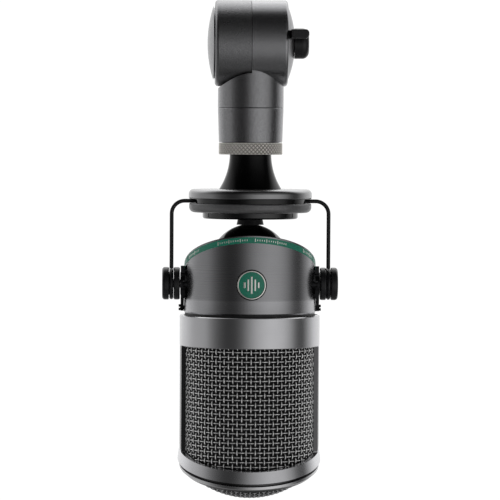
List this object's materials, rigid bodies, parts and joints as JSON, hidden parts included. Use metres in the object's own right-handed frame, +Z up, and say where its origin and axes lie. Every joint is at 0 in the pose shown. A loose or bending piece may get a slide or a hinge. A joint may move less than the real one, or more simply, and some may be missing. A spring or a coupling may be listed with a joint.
{
  "type": "suspended broadcast microphone",
  "caption": "Side-address broadcast microphone with slanted cylindrical body and woven mesh head, hung in a wire yoke below a drum swivel with clamp lever.",
  "frame": {"origin": "centre of the mouth of the threaded stand socket at the back of the swivel drum", "axes": "+Z up along the hanging microphone's axis, +Y out of the stand socket's mouth, -Y towards the front of the microphone, +X to its right, where the clamp lever is"},
  "size_m": [0.0784, 0.064, 0.2217],
  "materials": {
    "swivel_paint": "moulded black, fine spark texture",
    "black_gloss": "gloss black",
    "isolator": "satin dark grey elastomer",
    "black_rubber": "matt black rubber",
    "black_wire": "satin black lacquer on spring wire",
    "knob_plastic": "satin black moulding",
    "nickel": "satin nickel, knurled",
    "body_metal": "satin titanium-grey anodised",
    "grille_metal": "satin grey nickel",
    "green_enamel": "glossy green enamel",
    "wire_mesh": "woven steel wire",
    "black_gauze": "fine black gauze",
    "black_metal": "black oxide",
    "steel": "plain steel",
    "brass": "plain brass",
    "insulator": "black insulating plastic",
    "magnet": "nickel plated magnet",
    "ribbon_foil": "bare foil",
    "circuit_board": "lacquered circuit board",
    "bronze": "sintered bronze",
    "cable_jacket": "satin cable jacket"
  },
  "bodies": {
    "boom_mount": {"swivel_mount_half": "swivel_paint", "thread_adapter": "brass", "mount_cap": "swivel_paint", "pivot_bolt": "steel", "friction_ring": "black_rubber"},
    "swivel_arm": {"swivel_arm_half": "swivel_paint", "arm_cap": "swivel_paint", "pivot_bush": "bronze", "cable_grommet": "black_rubber", "connector_sleeve": "swivel_paint", "sleeve_screws": "black_metal", "socket_insert": "insulator", "socket_contacts": "brass", "spigot_cone": "black_gloss", "plug_insert": "insulator", "plug_pins": "brass", "neck_tube": "steel", "signal_cable": "cable_jacket", "upper_isolator": "isolator", "lower_isolator": "isolator", "spacer_ring": "black_gloss", "retaining_disc": "black_gloss", "disc_screws": "black_metal", "cable_boot": "black_rubber", "yoke_wire": "black_wire", "pivot_bushes": "knob_plastic"},
    "union_nut": {"union_nut": "nickel"},
    "clamp_lever": {"clamp_lever": "knob_plastic"},
    "left_knob": {"left_knob": "knob_plastic", "left_knob_stud": "steel"},
    "right_knob": {"right_knob": "knob_plastic", "right_knob_stud": "steel"},
    "mic_body": {"rear_housing": "body_metal", "top_lid": "black_metal", "lid_screws": "black_metal", "dome_cover": "black_gloss", "trim_band": "green_enamel", "pivot_plates": "black_metal", "plate_screws": "black_metal", "lip_screws": "black_metal", "badge": "green_enamel", "base_plate": "body_metal", "base_screws": "steel", "bayonet_ring": "black_metal", "seal_ring": "black_rubber", "transformer_can": "steel", "terminal_board": "circuit_board", "body_lead": "cable_jacket", "motor_mounts": "black_rubber", "motor_frame": "black_metal", "magnets": "magnet", "pole_pieces": "steel", "ribbon": "ribbon_foil", "ribbon_clamps": "brass", "ribbon_leads": "brass"},
    "head_grille": {"grille_frame": "grille_metal", "side_mesh": "wire_mesh", "inner_gauze": "black_gauze", "end_ring": "grille_metal", "end_mesh": "wire_mesh"}
  },
  "joints": [
    {"name": "swivel_tilt", "type": "hinge", "parent": "boom_mount", "child": "swivel_arm", "pos_m": [0, -0.032, 0], "axis": [1, 0, 0], "range_deg": [-180, 4]},
    {"name": "body_tilt", "type": "hinge", "parent": "swivel_arm", "child": "mic_body", "pos_m": [0, -0.032, -0.1072], "axis": [1, 0, 0], "range_deg": [-15, 60]},
    {"name": "lever_turn", "type": "hinge", "parent": "boom_mount", "child": "clamp_lever", "pos_m": [0.0225, -0.032, 0], "axis": [1, 0, 0], "range_deg": [-10, 110]},
    {"name": "nut_turn", "type": "hinge", "parent": "swivel_arm", "child": "union_nut", "pos_m": [0, -0.032, -0.047], "axis": [0, 0, 1], "continuous": true},
    {"name": "left_knob_turn", "type": "hinge", "parent": "swivel_arm", "child": "left_knob", "pos_m": [-0.0375, -0.032, -0.1072], "axis": [1, 0, 0], "range_deg": [-180, 180]},
    {"name": "right_knob_turn", "type": "hinge", "parent": "swivel_arm", "child": "right_knob", "pos_m": [0.0375, -0.032, -0.1072], "axis": [1, 0, 0], "range_deg": [-180, 180]},
    {"name": "grille_twist", "type": "hinge", "parent": "mic_body", "child": "head_grille", "pos_m": [0, -0.032, -0.125], "axis": [0, 0, 1], "range_deg": [0, 20]}
  ]
}
